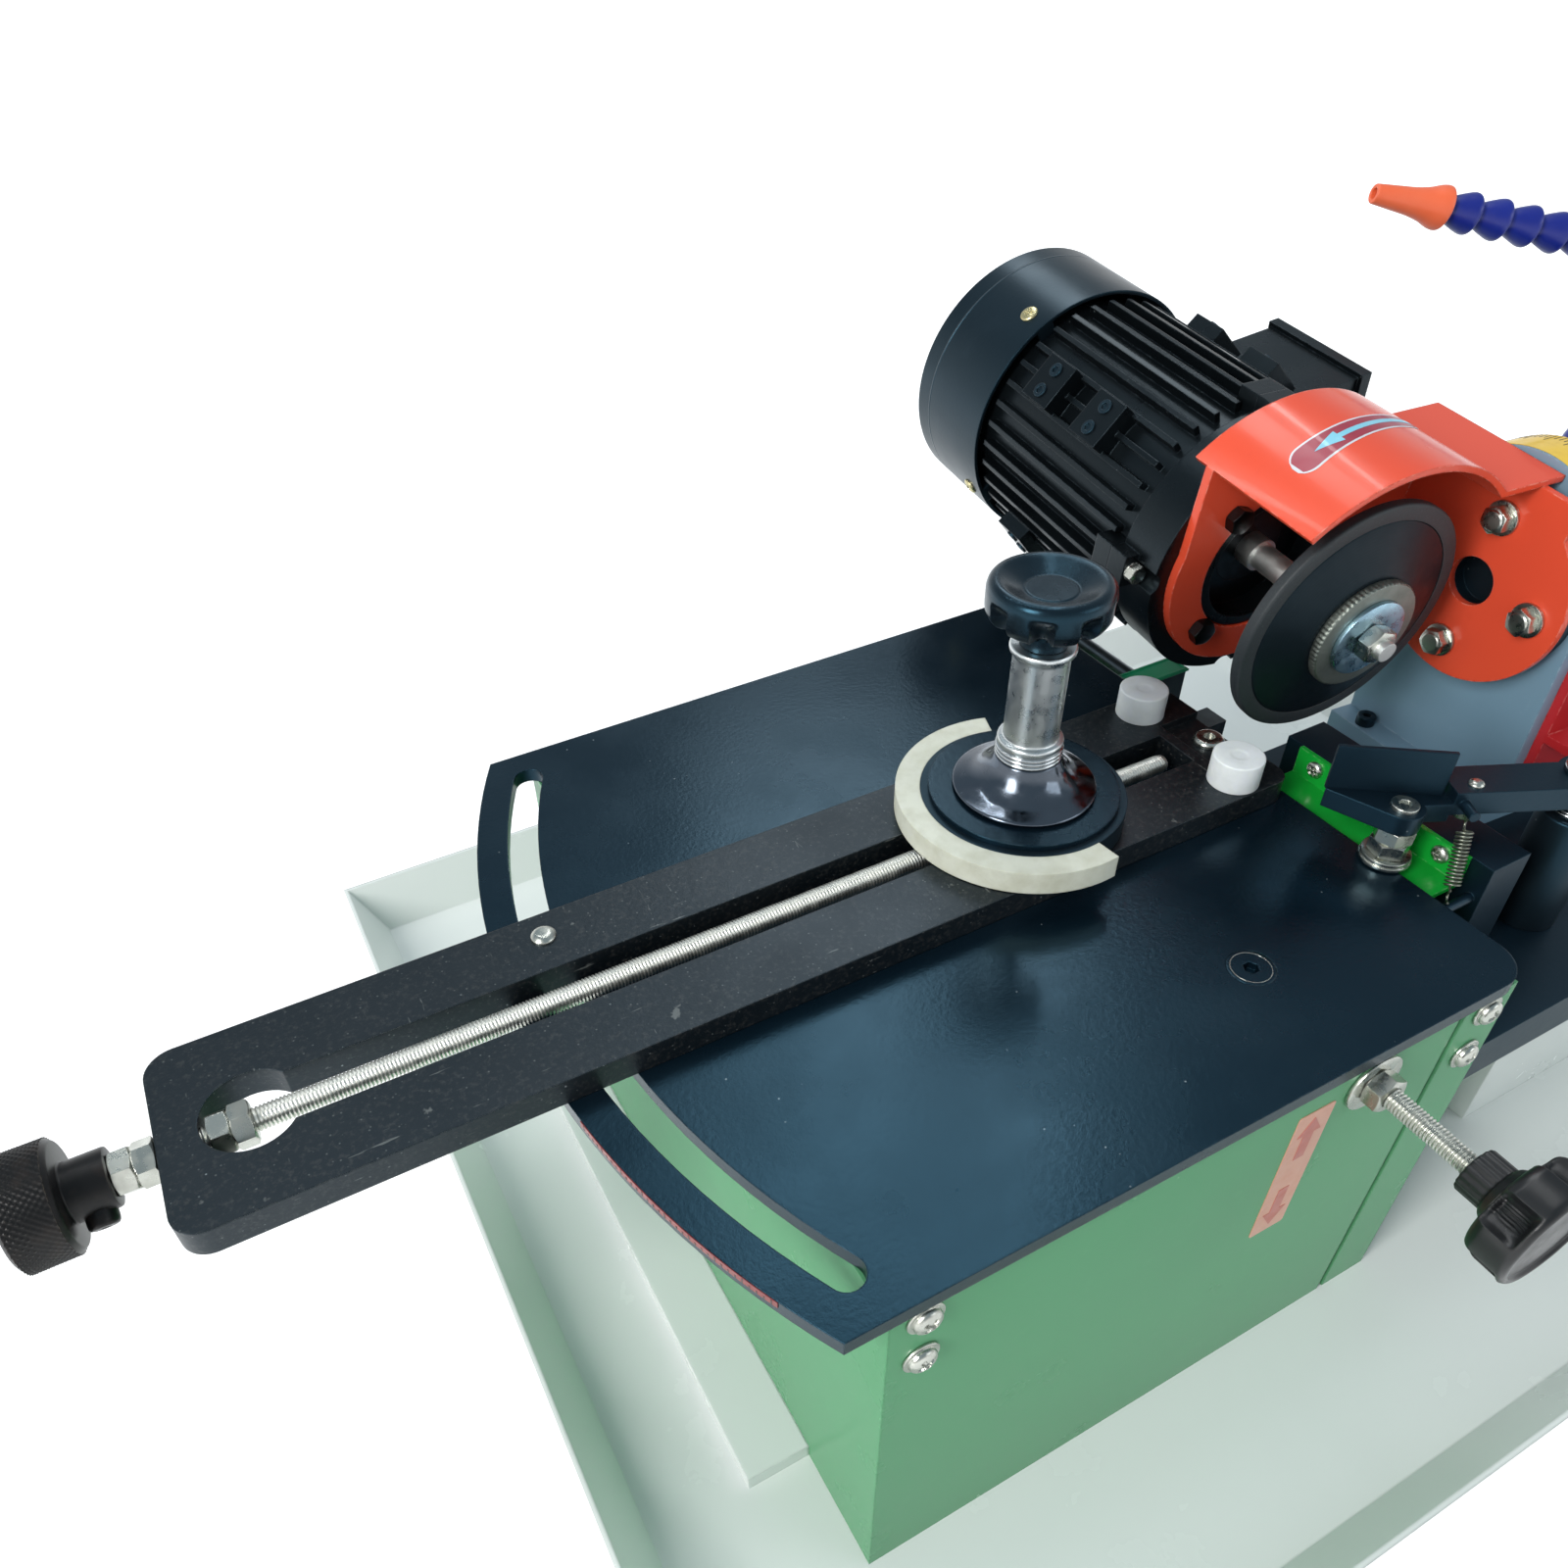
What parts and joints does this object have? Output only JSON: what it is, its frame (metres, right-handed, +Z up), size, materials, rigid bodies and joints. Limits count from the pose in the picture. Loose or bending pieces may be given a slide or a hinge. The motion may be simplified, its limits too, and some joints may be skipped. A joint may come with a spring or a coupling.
{
  "type": "saw blade sharpener",
  "caption": "Bench wet sharpener for circular saw blades: swinging arm with blade clamp, tilting motor head with dish wheel, tooth stop, hose and coolant tray.",
  "frame": {"origin": "tray's underside, below the swing arm's pivot axis", "axes": "+Z up; +X from the arm's knob to the grinding head; -Y is the front with the star knob"},
  "size_m": [0.7933, 0.53, 0.3589],
  "materials": {
    "tray_white": "gloss enamel",
    "stand_green": "gloss paint",
    "angle_green": "gloss paint",
    "black_coat": "textured powder coat",
    "zinc": "bright zinc",
    "polished": "polished",
    "alloy": "turned",
    "black_plastic": "moulded",
    "black_steel": "blackened",
    "nylon": "natural nylon",
    "orange": "gloss paint",
    "blue_grey": "gloss paint",
    "red": "gloss paint",
    "motor_black": "satin black paint on cast alloy",
    "motor_sheet": "satin black paint",
    "core": "laminated steel",
    "wheel": "bonded abrasive",
    "blue_hose": "moulded",
    "orange_plastic": "moulded"
  },
  "bodies": {
    "base": {"coolant_tray": "tray_white", "mounting_rail": "tray_white", "stand_shell": "stand_green", "stand_channel": "stand_green", "panel_screws": "zinc", "star_nut": "zinc", "table_plate": "black_coat", "table_rails": "black_coat", "table_screws": "black_steel", "pivot_screw": "zinc", "angle_strip": "angle_green", "angle_block": "black_coat", "base_plate": "black_coat", "pedestal": "black_coat", "guide_bar": "zinc", "feed_rail": "zinc", "pawl_pillar": "black_steel", "pawl_spring": "black_steel", "hose_fitting": "zinc"},
    "star": {"star_screw": "zinc", "star_knob": "black_plastic"},
    "arm": {"swing_arm": "black_coat", "nylon_posts": "nylon", "lock_pin": "zinc"},
    "lock": {"lock_knob": "black_plastic"},
    "rod": {"lead_screw": "zinc", "screw_nuts": "zinc", "feed_knob": "black_steel"},
    "carriage": {"carriage": "black_steel", "blade_crescent": "nylon", "clamp_disc": "black_steel", "clamp_stud": "zinc"},
    "press": {"clamp_cone": "polished", "clamp_rings": "polished", "clamp_tube": "alloy"},
    "press_knob": {"clamp_knob": "black_plastic"},
    "slider": {"bar_block": "black_coat"},
    "saddle": {"head_bracket": "blue_grey", "lever_bracket": "red", "feed_handle": "black_steel"},
    "head": {"guard": "orange", "guard_bolts": "zinc", "tilt_disc": "black_steel", "motor_bell": "motor_black", "motor_frame": "motor_black", "fan_cowl": "motor_sheet", "terminal_box": "black_plastic", "motor_screws": "zinc", "motor_stator": "core", "motor_bearings": "core"},
    "spindle": {"grinding_wheel": "wheel", "wheel_flanges": "core", "wheel_nut": "zinc", "rotor_shaft": "core", "cooling_fan": "black_plastic"},
    "pawl": {"pawl_arm": "black_coat", "pawl_finger": "black_coat", "pawl_stack": "zinc"},
    "hose": {"coolant_hose": "blue_hose", "hose_nozzle": "orange_plastic"}
  },
  "joints": [
    {"name": "arm_swing", "type": "hinge", "parent": "base", "child": "arm", "pos_m": [0, 0, 0.19], "axis": [0, 0, 1], "range_deg": [-18, 28]},
    {"name": "lock_turn", "type": "hinge", "parent": "arm", "child": "lock", "pos_m": [-0.28381, 0.026, 0.176], "axis": [0, 0, 1], "range_deg": [-180, 180]},
    {"name": "rod_turn", "type": "hinge", "parent": "arm", "child": "rod", "pos_m": [-0.3, 0, 0.1955], "axis": [1, 0, 0], "range_deg": [-5761, 39889]},
    {"name": "carriage_slide", "type": "slide", "parent": "arm", "child": "carriage", "axis": [1, 0, 0], "range_m": [-0.1385, 0.02]},
    {"name": "press_slide", "type": "slide", "parent": "carriage", "child": "press", "axis": [0, 0, 1], "range_m": [0, 0.006]},
    {"name": "press_knob_turn", "type": "hinge", "parent": "press", "child": "press_knob", "pos_m": [-0.0975, 0, 0.29], "axis": [0, 0, 1], "range_deg": [0, 1235]},
    {"name": "star_turn", "type": "hinge", "parent": "base", "child": "star", "pos_m": [-0.058, -0.17, 0.17], "axis": [0, -1, 0], "range_deg": [-360, 360]},
    {"name": "slider_slide", "type": "slide", "parent": "base", "child": "slider", "axis": [0, 1, 0], "range_m": [-0.02, 0.045]},
    {"name": "head_feed", "type": "slide", "parent": "base", "child": "saddle", "axis": [0.9976, -0.0698, 0], "range_m": [-0.008, 0.03]},
    {"name": "head_tilt", "type": "hinge", "parent": "saddle", "child": "head", "pos_m": [0.04, -0.015, 0.251], "axis": [-0.9976, 0.0698, 0], "range_deg": [-20, 6]},
    {"name": "spindle_spin", "type": "hinge", "parent": "head", "child": "spindle", "pos_m": [0.04, -0.015, 0.251], "axis": [0.0694, 0.9921, 0.1045], "continuous": true},
    {"name": "pawl_swing", "type": "hinge", "parent": "base", "child": "pawl", "pos_m": [0.08, -0.106, 0.215], "axis": [0, 0, 1], "range_deg": [0, 20], "stiffness_Nm_per_rad": 0.8, "springref_deg": -2.86, "deforming": ["pawl_spring"]},
    {"name": "hose_swivel", "type": "hinge", "parent": "base", "child": "hose", "pos_m": [0.314, 0.07, 0.185], "axis": [0, 0, 1], "range_deg": [-30, 30]}
  ],
  "couplings": [
    {"joint": "rod_turn", "follows": "carriage_slide", "rad_per_m": -5026.5},
    {"joint": "press_knob_turn", "follows": "press_slide", "rad_per_m": 3590.4}
  ]
}
